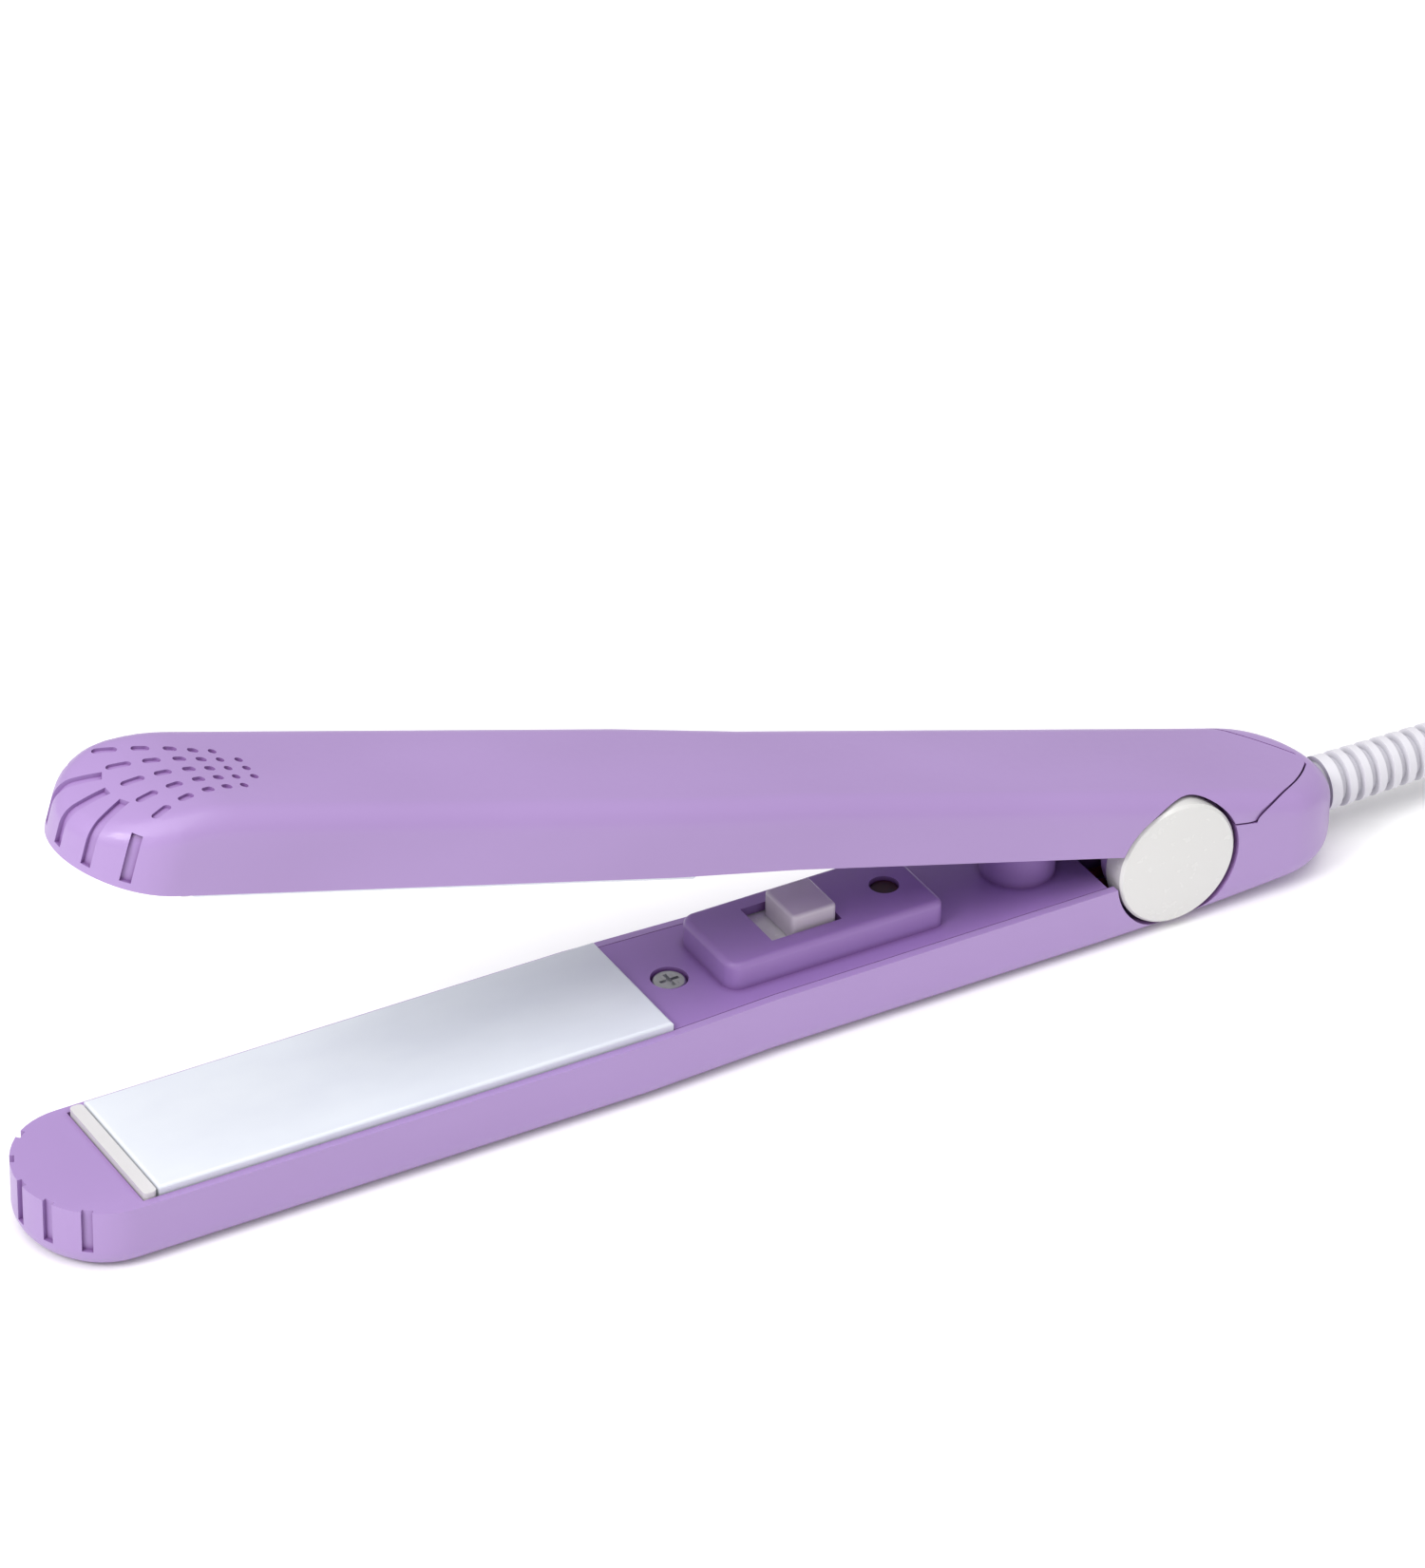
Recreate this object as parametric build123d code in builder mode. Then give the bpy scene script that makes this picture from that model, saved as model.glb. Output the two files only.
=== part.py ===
"""Mini hair iron: two plastic arms with flat heating plates, hinged near the tail.

Millimetres. X runs from the noses to the tail, Z is up and the lower arm's belly rests on Z = 0.
Both arms are laid out from the hinge axis: the lower arm in LOWER, the upper arm in UPPER, which is
the same plane turned by the opening angle. The iron stands open, as its spring leaves it.
"""
import os
from math import cos, degrees, pi, radians, sin, tan

from build123d import *

os.makedirs("parts", exist_ok=True)

# ---------------------------------------------------------------- driving sizes
HINGE_X = 63.5                 # hinge axis behind the middle of the iron
HINGE_Z = 10.5                 # hinge axis above the table
OPEN_ANGLE = 16.0              # opening between the plates at rest
NOSE = -156.0                  # from the hinge to the nose tips
TAIL = 28.0                    # from the hinge to the end of the tail
NOSE_HALF_WIDTH = 11.3         # arms beside the plates
TAIL_HALF_WIDTH = 10.5         # arms behind the plates
TAPER_START = -76.0            # the arms narrow between these two places
TAPER_END = -58.0
WALL = 1.1                     # moulded walls
SHELL_FLOOR = 1.5              # thickness of belly and back

# Heights from the hinge axis
BELLY = -HINGE_Z
PARTING = -0.6                 # where the plates meet
PLATE_PROUD = 1.2              # plates stand above the decks
PLATE_AIR = 0.05               # half of the air left between closed plates
LOWER_DECK = PARTING - PLATE_PROUD
UPPER_DECK = PARTING + PLATE_PROUD
TOP_AT_HINGE = 8.6             # back of the upper arm
TOP_SLOPE = -0.018

# Rounding
TIP_RADIUS = 12.0              # nose seen from above
TIP_HALF_ANGLE = 45.0
BELLY_ROUND = 3.2
BACK_ROUND = 3.2
BELLY_BEND = -12.0             # the belly starts to rise here
BELLY_RISE = 2.6
NOSE_SLOPE_LENGTH = 17.0       # the upper arm's back curves down over this length
NOSE_TIP_HEIGHT = 4.6
TAIL_FRONT = -14.0             # the tail's back starts here, in front of the hinge
UPPER_FORM_END = 9.0           # behind this only a tongue reaches back over the tail

# Hinge
CAP_RADIUS = {-1: 8.5, 1: 7.0}     # near and far cap
CAP_MIDDLE = {-1: (0.3, -0.8), 1: (0.0, 0.0)}     # from the hinge axis
CAP_INNER = 6.9                # caps fill the sides from here outwards
CAP_OUTER = 10.75
CAP_BEVEL = 0.35
CAP_GAP = 0.5                  # round the caps, in the openings that they sit in
PIN_RADIUS = 2.0
PIN_HALF_LENGTH = 9.0
PIN_PLAY = 0.06
EAR = (3.7, 5.1)               # lower arm's ears, across the width
EAR_RADIUS = 6.4
EAR_FOOT = 5.0
CHEEK = (5.3, 6.7)             # upper arm's cheeks, outside the ears
CHEEK_RADIUS = 8.0
CHEEK_GAP = 0.95
CHEEK_FOOT = -16.0             # the cheeks' webs run forward to here
CAP_SEAT = CAP_INNER - 0.15    # bottom of the caps' openings

# Tongue of the upper arm, lying in a pocket of the tail; it is the opening stop
TONGUE_TIP = 24.2
TONGUE_ARCS = ((2.2, 42.0), (36.0, 62.0), (12.0, 90.0))   # radius, and the turn each arc ends at
TONGUE_FRONT = (5.0, 4.7)      # its underside, front and rear
TONGUE_REAR = (24.0, 6.3)
TONGUE_GAP = 0.25
POCKET_FLOOR = 1.2

# Plates, holders and heaters, as heights above the parting plane, the same in both arms
PLATE = (-142.5, -72.4)
PLATE_HALF = 10.0
PLATE_BACK = 2.25
HOLDER = (-142.7, -73.0)
HOLDER_HALF = 9.9
HOLDER_BACK = 5.4
NOTCH_INSET = 6.0              # notches across the holder's back
NOTCH_HALF = 2.0
NOTCH_DEPTH = 0.8
HEATER = (-138.0, -78.0)
HEATER_HALF = 6.0
HEATER_BACK = 3.75
CLAMP = (-130.0, -86.0)
CLAMP_HALF = 3.0
CLAMP_BACK = 4.3
STRIP = (-144.5, -142.75)      # pale strip across the nose end of each plate
STRIP_HALF = 10.1
STRIP_FACE = 0.4
STRIP_BACK = 3.2
BAY_START = -144.7             # the shells are open from here back to the hinge
RIBS = (-135.0, -82.0)
RIB = 1.2
MERGE = 0.3                    # how far ribs and posts run into the wall they stand on

# Covers behind the plates
COVER = (-72.2, -9.5)
COVER_THICK = 1.6
COVER_GAP = 0.1
SCREW_X = -67.3
SCREW_HEAD = 2.2
SCREW_SHANK = 1.0
SCREW_FACE = 1.5
SCREW_SLOT = (1.3, 0.25)       # half length and half width
SCREW_SLOT_DEPTH = 0.5
SCREW_SEAT = 2.4
SCREW_END = 8.0
BOSS_TOP = 4.6
BOSS_RADIUS = 2.8
SCREW_TUBE = 3.6               # tube around the screw's recess
SWITCH_BLOCK = (-62.4, -31.7)
SWITCH_BLOCK_HALF = 6.6
SWITCH_BLOCK_TOP = 2.0
SWITCH_WALL = 1.2
SLOT = (-55.0, -45.0)
SLOT_HALF = 3.9
KNOB = (-51.9, -45.5)
KNOB_HALF = 3.5
KNOB_TOP = 4.2
KNOB_STEM = (-48.2, -46.6)
KNOB_STEM_HALF = 0.9
KNOB_STEM_END = -2.0
SWITCH = (-57.0, -43.0)
SWITCH_HALF = 5.0
SWITCH_FACE = 0.6
SWITCH_SLIT = (-51.3, -46.3)   # the knob hides it at rest and lets its stem run
LENS_X = -36.6
LENS_RADIUS = 1.7
LENS_HEIGHTS = (0.2, 0.8, 1.5)     # flange, then the lens itself
LAMP_RADIUS = 1.5
POST_X = -17.0
POST_RADIUS = 4.8
POST_TOP = 4.2
POST_BORE = 3.5
POST_SEAT = -5.0
BOARD = (-60.0, -28.0)
BOARD_HALF = 8.3
BOARD_TOP = -6.6
BOARD_THICK = 1.0

# Opening spring
SPRING_RADIUS = 2.6
SPRING_WIRE = 0.4
SPRING_TOP = 11.2
SPRING_TURNS = 7

# Grip pattern of the noses
GROOVE_WIDTH = 1.4
GROOVE_DEPTH = 0.6
GROOVE_REACH = 10.0            # how far the cutting bars reach across the nose's edge
GROOVE_STEP = 25.0
GROOVE_FOOT = 3.0
UPPER_GROOVE_FOOT = UPPER_DECK + 0.9
SIDE_GROOVE_TOP = 7.5
DASH_DEPTH = 0.4
DASH_WIDTH = 1.05
DASH_ROWS = 2.0                # between rows at the last column
DASH_SPREAD = 0.0075           # rows spread by this times the square of the way forward
DASH_COLUMNS = (               # place and length
    (-148.0, 2.9), (-144.2, 2.2), (-140.8, 1.7), (-138.0, 1.4), (-135.5, 1.2), (-133.0, 1.0))

# Tail and cord, in the iron's own frame
CORD_HEIGHT = 6.9
CORD_RADIUS = 2.25
RELIEF_FLANGE = (20.0, 21.6)   # square flange inside the tail's wall
RELIEF_FLANGE_HALF = 4.6
RELIEF_FLANGE_HEIGHTS = (-7.6, -1.9)
RELIEF_MARGIN = 1.6            # plain length at both ends
RELIEF_NECK = 3.0
RELIEF_START = TAIL + 0.2
RELIEF_END = 66.0
RELIEF_ROOT_RADIUS = 3.7
RELIEF_TIP_RADIUS = 3.0
RELIEF_PITCH = 2.3
RELIEF_GROOVE = (1.2, 0.8)
SHEATH_START = 9.3
CORD_LEVEL = CORD_HEIGHT - HINGE_Z
CLAMP_BAR = (9.3, 12.3)        # bar over the cord inside the tail
CLAMP_BAR_HALF = 7.4
CLAMP_BAR_THICK = 0.9
CLAMP_X = sum(CLAMP_BAR) / 2
CLAMP_SEAT = CORD_LEVEL + CORD_RADIUS
CLAMP_POST = 1.9
CLAMP_SCREW = 0.8
CLAMP_SCREW_Y = 5.4
CLAMP_SCREW_END = -7.5
CLAMP_SCREW_HEAD = (1.3, 0.4)  # radius and thickness
LEAD_RADIUS = 0.7

# Free cord, folded into a tied hank behind the tail
CORD_ROUTE = ((129.5, 0, 6.9), (136.5, 0, 6.3), (145.5, 0, 3.1), (152.5, 0, 2.4))
FOLD_RADIUS = 13.5
HANK_MIDDLE = (184.5, 13.5)
HANK_HALF_LENGTH = 46.0
HANK_HEIGHT = 25.0
HANK_WAIST = 5.6
TIE_HALF_WIDTH = 3.0
TIE_THICK = 0.8
TIE_ROUND = 1.2
PLUG_START = 172.0
PLUG_Y = 6.0
PLUG_TAIL = 10.0
PLUG_LENGTH = 33.0
PLUG_HALF_WIDTH = 15.0
PLUG_NECK = 6.0                # half width where the tail meets the body
PLUG_SHOULDER = 12.0
PLUG_THICK = 13.7
PLUG_PIN_RADIUS = 2.0
PLUG_PIN_LENGTH = 19.0
PLUG_PIN_SPREAD = 9.5

LOWER = Plane(origin=(HINGE_X, 0, HINGE_Z))
UPPER = LOWER.rotated((0, OPEN_ANGLE, 0))


# ---------------------------------------------------------------- layout helpers
def level(arm, x=0.0, y=0.0, z=0.0):
    """Plane parallel to an arm's plates, through a point measured from the hinge."""
    return Plane(origin=arm.from_local_coords((x, y, z)), x_dir=arm.x_dir, z_dir=arm.z_dir)


def upright(arm, x=0.0, y=0.0, z=0.0):
    """Plane along an arm, seen from its near side, with the arm's X and Z as sketch X and Y."""
    return Plane(origin=arm.from_local_coords((x, y, z)), x_dir=arm.x_dir, z_dir=(0, -1, 0))


def back_height(x):
    """Height of the upper arm's back above the hinge, with the arm level."""
    return TOP_AT_HINGE + TOP_SLOPE * x


def opened(x, z):
    """Where a point of the upper arm lies beside the lower arm when the iron is open."""
    turn = radians(OPEN_ANGLE)
    return (x * cos(turn) + z * sin(turn), z * cos(turn) - x * sin(turn))


# ---------------------------------------------------------------- outer forms
def plan_outline(plane, inset):
    """Arm seen from above: round nose, sides that narrow behind the plates, round tail."""
    half_width = NOSE_HALF_WIDTH - inset
    tail_half = TAIL_HALF_WIDTH - inset
    lean = radians(TIP_HALF_ANGLE)
    corner = (NOSE_HALF_WIDTH - TIP_RADIUS * sin(lean)) / (1 - sin(lean))
    tip_centre = NOSE + TIP_RADIUS
    corner_x = tip_centre - (TIP_RADIUS - corner) * cos(lean)
    tip_r = TIP_RADIUS - inset
    shoulder = (tip_centre - tip_r * cos(lean), tip_r * sin(lean))
    tail_x = TAIL - TAIL_HALF_WIDTH
    with BuildSketch(plane) as outline:
        with BuildLine():
            RadiusArc((shoulder[0], -shoulder[1]), shoulder, tip_r)
            RadiusArc(shoulder, (corner_x, half_width), corner - inset)
            Polyline((corner_x, half_width), (TAPER_START, half_width), (TAPER_END, tail_half),
                     (tail_x, tail_half))
            RadiusArc((tail_x, tail_half), (tail_x, -tail_half), tail_half)
            Polyline((tail_x, -tail_half), (TAPER_END, -tail_half),
                     (TAPER_START, -half_width), (corner_x, -half_width))
            RadiusArc((corner_x, -half_width), (shoulder[0], -shoulder[1]), corner - inset)
        make_face()
    return outline.sketch


def lower_form(inset):
    """Outer form of the lower arm with the whole tail, drawn in by an inset."""
    front_top = opened(TAIL_FRONT, back_height(TAIL_FRONT) - inset)
    rear_top = opened(TAIL + 5, back_height(TAIL + 5) - inset)
    belly = BELLY + inset
    belly_end = rear_top[0], belly + BELLY_RISE
    nose = NOSE - 1
    with BuildSketch(upright(LOWER)) as profile:
        with BuildLine():
            Line((nose, belly), (BELLY_BEND, belly))
            TangentArc((BELLY_BEND, belly), belly_end, tangent=(1, 0))
            Polyline(belly_end, rear_top, front_top,
                     (front_top[0], LOWER_DECK), (nose, LOWER_DECK), (nose, belly))
        make_face()
    with BuildPart() as form:
        extrude(plan_outline(level(LOWER, z=BELLY - 1), inset), amount=40)
        extrude(profile.sketch, amount=2 * NOSE_HALF_WIDTH, both=True, mode=Mode.INTERSECT)
        belly_faces = form.faces().filter_by(lambda f: f.normal_at().Z < -0.9)
        fillet(belly_faces.edges().filter_by(Axis.Y, reverse=True), BELLY_ROUND - inset)
        back_face = form.faces().sort_by(Axis.Z)[-1]
        fillet(back_face.edges().filter_by(Axis.Y, reverse=True), BACK_ROUND - inset)
    return form.part


def upper_form(inset):
    """Outer form of the upper arm as far as the hinge, drawn in by an inset."""
    top = UPPER_FORM_END, back_height(UPPER_FORM_END) - inset
    crest_x = NOSE + NOSE_SLOPE_LENGTH
    crest = crest_x, back_height(crest_x) - inset
    with BuildSketch(upright(UPPER)) as profile:
        with BuildLine():
            Polyline((NOSE - 1, UPPER_DECK), (UPPER_FORM_END, UPPER_DECK), top, crest)
            TangentArc(crest, (NOSE - 1, NOSE_TIP_HEIGHT - inset), tangent=(-1, -TOP_SLOPE))
            Line((NOSE - 1, NOSE_TIP_HEIGHT - inset), (NOSE - 1, UPPER_DECK))
        make_face()
    with BuildPart() as form:
        extrude(plan_outline(level(UPPER, z=-1), inset), amount=20)
        extrude(profile.sketch, amount=2 * NOSE_HALF_WIDTH, both=True, mode=Mode.INTERSECT)
        back_faces = form.faces().filter_by(lambda f: (f.normal_at().dot(UPPER.z_dir)) > 0.5)
        fillet(back_faces.edges().filter_by(Axis.Y, reverse=True), BACK_ROUND - inset)
    return form.part


# ---------------------------------------------------------------- simple solids measured along an arm
def height(side, above):
    """Height in an arm for a distance from the parting plane; side is 1 in the upper arm, -1 below."""
    return PARTING + side * above


def block(arm, x, y, z, mode=Mode.ADD):
    """Box between two places in each direction."""
    with BuildSketch(level(arm, z=z[0])) as base:
        with Locations(((x[0] + x[1]) / 2, (y[0] + y[1]) / 2)):
            Rectangle(abs(x[1] - x[0]), y[1] - y[0])
    extrude(base.sketch, amount=z[1] - z[0], mode=mode)


def post(arm, x, y, radius, z, mode=Mode.ADD):
    """Round post between two heights."""
    with BuildSketch(level(arm, x, y, z[0])) as base:
        Circle(radius)
    extrude(base.sketch, amount=z[1] - z[0], mode=mode)


def disc(arm, radius, y, middle=(0, 0), mode=Mode.ADD):
    """Disc between two places across the width, about the hinge axis or a middle near it."""
    origin = arm.from_local_coords((middle[0], y[0], middle[1]))
    with BuildSketch(Plane(origin=origin, x_dir=arm.x_dir, z_dir=(0, 1, 0))) as face:
        Circle(radius)
    extrude(face.sketch, amount=y[1] - y[0], mode=mode)


def rod(radius, x, y, z, mode=Mode.ADD):
    """Rod along the lower arm between two places."""
    with BuildSketch(Plane(origin=LOWER.from_local_coords((x[0], y, z)), z_dir=(1, 0, 0))) as face:
        Circle(radius)
    extrude(face.sketch, amount=x[1] - x[0], mode=mode)


def wire(points, radius, bend):
    """Round wire along straight runs with rounded corners."""
    with BuildPart() as piece:
        with BuildLine() as path:
            FilletPolyline(*points, radius=bend)
        with BuildSketch(Plane(origin=path.line @ 0, z_dir=path.line % 0)):
            Circle(radius)
        sweep(path=path.line)
    return piece.part


def profile_space(arm, points):
    """Side view of a space in an arm, cut through the whole width."""
    with BuildSketch(upright(arm)) as profile:
        with BuildLine():
            Polyline(*points, close=True)
        make_face()
    with BuildPart() as space:
        extrude(profile.sketch, amount=2 * NOSE_HALF_WIDTH, both=True)
    return space.part


# ---------------------------------------------------------------- tongue and grip pattern
def tongue_outline(plane, gap):
    """Tongue seen from above, a chain of tangent arcs from its tip to both sides, grown by a gap."""
    tip_radius = TONGUE_ARCS[0][0]
    centre = TONGUE_TIP - tip_radius, 0.0
    start_turn = 0.0
    points = [(TONGUE_TIP + gap, 0.0)]
    middles = []
    radius = tip_radius
    for next_radius, end_turn in TONGUE_ARCS:
        lean = radians(start_turn)
        step = next_radius - radius
        centre = (centre[0] - step * cos(lean), centre[1] - step * sin(lean))
        radius = next_radius
        for turn, kept in (((start_turn + end_turn) / 2, middles), (end_turn, points)):
            reach = radius + gap
            kept.append((centre[0] + reach * cos(radians(turn)), centre[1] + reach * sin(radians(turn))))
        start_turn = end_turn
    wide = NOSE_HALF_WIDTH + 2
    with BuildSketch(plane) as outline:
        with BuildLine():
            for way in (1, -1):
                for places in zip(points, middles, points[1:]):
                    ThreePointArc(*((x, way * y) for x, y in places))
            last = points[-1]
            Polyline(last, (last[0], wide), (TONGUE_FRONT[0] - gap, wide),
                     (TONGUE_FRONT[0] - gap, -wide), (last[0], -wide), (last[0], -last[1]))
        make_face()
    return outline.sketch


def tongue_space(gap):
    """Space of the tongue above its sloping underside, grown by a gap."""
    front, rear = TONGUE_FRONT, TONGUE_REAR
    with BuildPart() as space:
        extrude(tongue_outline(level(UPPER, z=front[1] - 2), gap), amount=12)
        add(profile_space(UPPER, ((front[0] - gap, front[1] - gap), (rear[0], rear[1] - gap),
                                   (rear[0], 12), (front[0] - gap, 12))), mode=Mode.INTERSECT)
    return space.part


def grooves(arm, form, first_turn, count, z):
    """Upright grip grooves fanned around the middle of a nose, cut as deep as the form is drawn in."""
    with BuildSketch(level(arm, NOSE + TIP_RADIUS, 0, z[0])) as bars:
        with PolarLocations(TIP_RADIUS, count, start_angle=180 - first_turn,
                            angular_range=2 * first_turn, endpoint=True):
            Rectangle(GROOVE_REACH, GROOVE_WIDTH)
    with BuildPart() as tool:
        extrude(bars.sketch, amount=z[1] - z[0])
        add(form, mode=Mode.SUBTRACT)
    return tool.part


def dashes(form):
    """Rows of short shallow dashes that run back from the grooves and draw together."""
    last_x = DASH_COLUMNS[-1][0]
    with BuildSketch(level(UPPER, z=TOP_AT_HINGE - 2)) as marks:
        for x, length in DASH_COLUMNS:
            rows = (-1, 0, 1) if x == last_x else (-2, -1, 0, 1, 2)
            for row in rows:
                ahead = last_x - x
                y = row * (DASH_ROWS + DASH_SPREAD * ahead ** 2)
                lean = -degrees(row * 2 * DASH_SPREAD * ahead)
                with Locations(Location((x, y, 0), (0, 0, lean))):
                    if length > 1.2 * DASH_WIDTH:
                        SlotOverall(length, DASH_WIDTH)
                    else:
                        Circle(DASH_WIDTH / 2)
    with BuildPart() as tool:
        extrude(marks.sketch, amount=6)
        add(form, mode=Mode.SUBTRACT)
    return tool.part


# ---------------------------------------------------------------- casings
def skin(side, x):
    """Height just inside the casing's outer wall, where ribs and posts end."""
    depth = SHELL_FLOOR - MERGE
    return BELLY + depth if side < 0 else back_height(x) - depth


def arm_insides(arm, side):
    """Ribs under the plate holder and the boss for the cover's screw, reaching to the casing's skin."""
    rib_face = height(side, HOLDER_BACK)
    for x in RIBS:
        block(arm, (x - RIB / 2, x + RIB / 2), (-HOLDER_HALF, HOLDER_HALF), (rib_face, skin(side, x)))
    boss_face = height(side, BOSS_TOP)
    post(arm, SCREW_X, 0, BOSS_RADIUS, (boss_face, skin(side, SCREW_X)))
    post(arm, SCREW_X, 0, SCREW_SHANK, (boss_face, height(side, SCREW_END)), mode=Mode.SUBTRACT)


def cut_cap_openings():
    """Round openings on both sides, in which the hinge caps sit."""
    for way in (1, -1):
        y = sorted((way * CAP_SEAT, way * NOSE_HALF_WIDTH))
        disc(LOWER, CAP_RADIUS[way] + CAP_GAP, y, CAP_MIDDLE[way], mode=Mode.SUBTRACT)


def make_lower_shell():
    """Lower casing: a tray with a closed nose, hinge ears and the whole tail."""
    floor = BELLY + SHELL_FLOOR
    pocket = POCKET_FLOOR + TONGUE_GAP
    tail_front = opened(TONGUE_FRONT[0] + 3, TONGUE_FRONT[1] - pocket)
    tail_rear = opened(TONGUE_REAR[0] + 5, TONGUE_REAR[1] - pocket + 0.4)
    cavity = profile_space(LOWER, (
        (NOSE, floor), (NOSE, LOWER_DECK - SHELL_FLOOR), (BAY_START, LOWER_DECK - SHELL_FLOOR),
        (BAY_START, 12), (tail_front[0], 12), tail_front, tail_rear,
        (tail_rear[0], floor + 0.66 * BELLY_RISE), (BELLY_BEND, floor)))
    mouth = profile_space(LOWER, ((-20, LOWER_DECK), (8, LOWER_DECK), (8, 20), (-20, 20)))
    groove_heights = BELLY + GROOVE_FOOT, PARTING
    nose_grooves = grooves(LOWER, lower_form(GROOVE_DEPTH), 2 * GROOVE_STEP, 5, groove_heights)
    with BuildPart() as inside:
        add(lower_form(WALL))
        add(cavity, mode=Mode.INTERSECT)
    with BuildPart() as shell:
        add(lower_form(0))
        add(nose_grooves, mode=Mode.SUBTRACT)
        add(inside.part, mode=Mode.SUBTRACT)
        add(mouth, mode=Mode.SUBTRACT)
        add(tongue_space(TONGUE_GAP), mode=Mode.SUBTRACT)
        disc(LOWER, CHEEK_RADIUS + CHEEK_GAP, (-CAP_SEAT, CAP_SEAT), mode=Mode.SUBTRACT)
        cut_cap_openings()
        arm_insides(LOWER, -1)
        for way in (1, -1):
            y = sorted((way * EAR[0], way * EAR[1]))
            disc(LOWER, EAR_RADIUS, y)
            block(LOWER, (-EAR_FOOT, EAR_FOOT), y, (floor - 0.3, 0))
            y = way * CLAMP_SCREW_Y
            post(LOWER, CLAMP_X, y, CLAMP_POST, (floor + 0.2, CLAMP_SEAT))
            post(LOWER, CLAMP_X, y, CLAMP_SCREW, (CLAMP_SCREW_END, CLAMP_SEAT), mode=Mode.SUBTRACT)
        disc(LOWER, PIN_RADIUS, (-CAP_INNER, CAP_INNER), mode=Mode.SUBTRACT)
        rod(RELIEF_NECK, (RELIEF_FLANGE[0], TAIL + 2), 0, CORD_LEVEL, mode=Mode.SUBTRACT)
    return shell.part


def make_upper_shell():
    """Upper casing: back, nose, hinge cheeks and the tongue over the tail."""
    cavity = profile_space(UPPER, (
        (NOSE, UPPER_DECK + SHELL_FLOOR), (NOSE, back_height(NOSE) - SHELL_FLOOR),
        (TONGUE_FRONT[0], back_height(TONGUE_FRONT[0]) - SHELL_FLOOR),
        (TONGUE_FRONT[0], -1), (BAY_START, -1), (BAY_START, UPPER_DECK + SHELL_FLOOR)))
    with BuildPart() as tongue:
        add(lower_form(0))
        add(tongue_space(0), mode=Mode.INTERSECT)
    with BuildPart() as inside:
        add(upper_form(WALL))
        add(cavity, mode=Mode.INTERSECT)
    groove_floor = upper_form(GROOVE_DEPTH)
    side_grooves = grooves(UPPER, groove_floor, 2 * GROOVE_STEP, 2, (UPPER_GROOVE_FOOT, SIDE_GROOVE_TOP))
    front_grooves = grooves(UPPER, groove_floor, GROOVE_STEP, 3, (UPPER_GROOVE_FOOT, TOP_AT_HINGE + 4))
    with BuildPart() as shell:
        add(upper_form(0))
        add(side_grooves, mode=Mode.SUBTRACT)
        add(front_grooves, mode=Mode.SUBTRACT)
        add(dashes(upper_form(DASH_DEPTH)), mode=Mode.SUBTRACT)
        block(UPPER, (0, UPPER_FORM_END + 1), (-NOSE_HALF_WIDTH - 1, NOSE_HALF_WIDTH + 1),
              (0, TONGUE_FRONT[1] + 0.4), mode=Mode.SUBTRACT)
        add(tongue.part)
        add(inside.part, mode=Mode.SUBTRACT)
        cut_cap_openings()
        for way in (1, -1):
            y = sorted((way * CHEEK[0], way * CHEEK[1]))
            disc(UPPER, CHEEK_RADIUS, y)
            block(UPPER, (CHEEK_FOOT, 0), y, (UPPER_DECK + COVER_THICK + 0.2, CHEEK_RADIUS - 0.2))
        arm_insides(UPPER, 1)
        disc(UPPER, PIN_RADIUS + PIN_PLAY, (-CAP_INNER, CAP_INNER), mode=Mode.SUBTRACT)
    return shell.part


def cover_plate(arm, side):
    """Flat cover inside an arm's rim behind the plate, with the screw's seat."""
    deck = height(side, PLATE_PROUD)
    back = deck + side * COVER_THICK
    extrude(plan_outline(level(arm, z=min(deck, back)), WALL + COVER_GAP), amount=COVER_THICK)
    block(arm, COVER, (-NOSE_HALF_WIDTH, NOSE_HALF_WIDTH), sorted((deck, back)), mode=Mode.INTERSECT)
    post(arm, SCREW_X, 0, SCREW_TUBE, (deck, height(side, BOSS_TOP - 0.2)))


def screw_seat(arm, side):
    """Recess for the screw's head and the hole for its shank."""
    post(arm, SCREW_X, 0, SCREW_HEAD + 0.2, (height(side, 0), height(side, SCREW_SEAT)), mode=Mode.SUBTRACT)
    post(arm, SCREW_X, 0, SCREW_SHANK + 0.1, (height(side, 0), height(side, BOSS_TOP)), mode=Mode.SUBTRACT)


def make_lower_deck():
    """Lower cover with the raised switch block, the lamp's hole and the spring's post."""
    x, half = SWITCH_BLOCK, SWITCH_BLOCK_HALF
    with BuildPart() as switch_block:
        block(LOWER, x, (-half, half), (LOWER_DECK - COVER_THICK, SWITCH_BLOCK_TOP))
        fillet(switch_block.edges().filter_by(Axis.Z).group_by(Axis.X)[0], 2.0)
        fillet(switch_block.edges().filter_by(Axis.Z).group_by(Axis.X)[-1], 1.2)
        fillet(switch_block.faces().sort_by(Axis.Z)[-1].edges(), 0.9)
    with BuildPart() as cover:
        cover_plate(LOWER, -1)
        add(switch_block.part)
        post(LOWER, POST_X, 0, POST_RADIUS, (POST_SEAT - 1.2, POST_TOP))
        block(LOWER, (x[0] + SWITCH_WALL, x[1] - SWITCH_WALL), (SWITCH_WALL - half, half - SWITCH_WALL),
              (-6, SWITCH_BLOCK_TOP - SWITCH_WALL), mode=Mode.SUBTRACT)
        block(LOWER, SLOT, (-SLOT_HALF, SLOT_HALF), (0, 3), mode=Mode.SUBTRACT)
        post(LOWER, LENS_X, 0, LENS_RADIUS + 0.2, (0, 3), mode=Mode.SUBTRACT)
        post(LOWER, POST_X, 0, POST_BORE, (POST_SEAT, POST_TOP + 1), mode=Mode.SUBTRACT)
        screw_seat(LOWER, -1)
    return cover.part


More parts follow.
